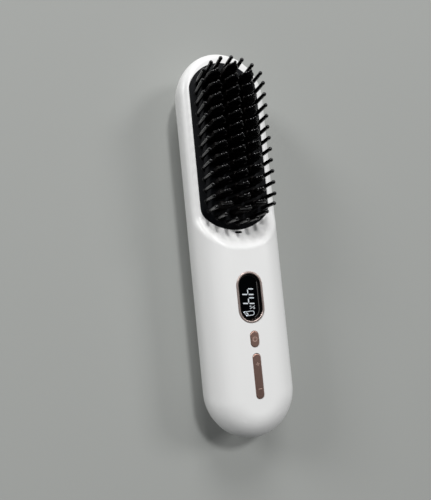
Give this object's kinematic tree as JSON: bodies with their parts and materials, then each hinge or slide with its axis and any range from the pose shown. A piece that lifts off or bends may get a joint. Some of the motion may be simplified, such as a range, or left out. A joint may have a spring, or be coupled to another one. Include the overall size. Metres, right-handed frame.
{
  "type": "steam hair straightener brush",
  "caption": "Cordless pill-shaped hair brush with heated teeth, a ring of nylon pins, a lit display, a power button and a tilting temperature key.",
  "frame": {"origin": "centre of the back face, on the surface that the brush lies on", "axes": "+Y along the body towards the crown end, +Z out of the bristle face, +X to the right seen from the bristle side"},
  "size_m": [0.048, 0.204, 0.0477],
  "materials": {
    "gloss_shell": "gloss white moulded ABS",
    "comb_plastic": "moulded black nylon",
    "heater_metal": "black ceramic coat on die-cast aluminium",
    "rose_metal": "rose-gold anodised",
    "rose_plastic": "rose-gold plated ABS",
    "lens_glass": "black gloss acrylic window",
    "module_plastic": "moulded black",
    "inner_plastic": "moulded natural ABS",
    "carrier_plastic": "moulded PPS",
    "tank_plastic": "translucent polypropylene",
    "silicone": "silicone",
    "wick_cotton": "pressed cotton",
    "ceramic": "white ceramic, as PTC and piezo discs are",
    "insulator_sheet": "polyimide sheet",
    "board": "glass fibre laminate with green mask",
    "switch_metal": "stamped steel",
    "screw_steel": "zinc plated",
    "cell_sleeve": "shrink sleeve over the steel can",
    "nickel": "nickel strip",
    "foam": "EVA foam",
    "lead_insulation": "silicone insulation"
  },
  "bodies": {
    "casing": {"front_shell": "gloss_shell", "rear_shell": "gloss_shell", "comb_bed": "comb_plastic", "bristle_pins": "comb_plastic", "heating_plate": "heater_metal", "tooth_caps": "comb_plastic", "ptc_heater": "ceramic", "heater_insulator": "insulator_sheet", "heater_carrier": "carrier_plastic", "thermal_fuse": "screw_steel", "temperature_sensor": "module_plastic", "heater_screws": "screw_steel", "comb_screws": "screw_steel", "water_tank": "tank_plastic", "tank_lid": "tank_plastic", "wick": "wick_cotton", "atomizer_holder": "silicone", "atomizer_disc": "ceramic", "steam_duct": "inner_plastic", "steam_nozzle": "module_plastic", "display_bezel": "rose_metal", "display_lens": "lens_glass", "display_module": "module_plastic", "main_board": "board", "board_screws": "screw_steel", "power_switch": "switch_metal", "plus_switch": "switch_metal", "minus_switch": "switch_metal", "rocker_pin": "screw_steel", "battery_cell_left": "cell_sleeve", "battery_cell_right": "cell_sleeve", "battery_tabs": "nickel", "battery_cradle": "inner_plastic", "battery_foam": "foam", "usb_port": "screw_steel", "usb_tongue": "module_plastic", "usb_board": "board", "case_screws": "screw_steel", "screw_plugs": "silicone", "heater_leads": "lead_insulation", "atomizer_leads": "lead_insulation", "battery_leads": "lead_insulation", "usb_leads": "lead_insulation"},
    "power_button": {"power_button": "rose_plastic"},
    "power_switch_plunger": {"power_switch_plunger": "module_plastic"},
    "temperature_rocker": {"temperature_rocker": "rose_plastic"},
    "plus_switch_plunger": {"plus_switch_plunger": "module_plastic"},
    "minus_switch_plunger": {"minus_switch_plunger": "module_plastic"},
    "filler_plug": {"filler_plug": "silicone"}
  },
  "joints": [
    {"name": "power_button_press", "type": "slide", "parent": "casing", "child": "power_button", "axis": [0, 0, -1], "range_m": [0, 0.00035], "stiffness_N_per_m": 1500},
    {"name": "power_plunger_press", "type": "slide", "parent": "casing", "child": "power_switch_plunger", "axis": [0, 0, -1], "range_m": [0, 0.00035]},
    {"name": "temperature_rocker_tilt", "type": "hinge", "parent": "casing", "child": "temperature_rocker", "pos_m": [0, -0.0676, 0.0329], "axis": [-1, 0, 0], "range_deg": [-2, 2], "stiffness_Nm_per_rad": 0.1},
    {"name": "plus_plunger_press", "type": "slide", "parent": "casing", "child": "plus_switch_plunger", "axis": [0, 0, -1], "range_m": [-0.00027, 0.00027]},
    {"name": "minus_plunger_press", "type": "slide", "parent": "casing", "child": "minus_switch_plunger", "axis": [0, 0, -1], "range_m": [-0.00027, 0.00027]},
    {"name": "filler_plug_pull", "type": "slide", "parent": "casing", "child": "filler_plug", "axis": [0, 1, 0], "range_m": [0, 0.012]}
  ],
  "couplings": [
    {"joint": "power_plunger_press", "follows": "power_button_press", "ratio": 1},
    {"joint": "plus_plunger_press", "follows": "temperature_rocker_tilt", "m_per_rad": 0.0075},
    {"joint": "minus_plunger_press", "follows": "temperature_rocker_tilt", "m_per_rad": -0.0075}
  ]
}
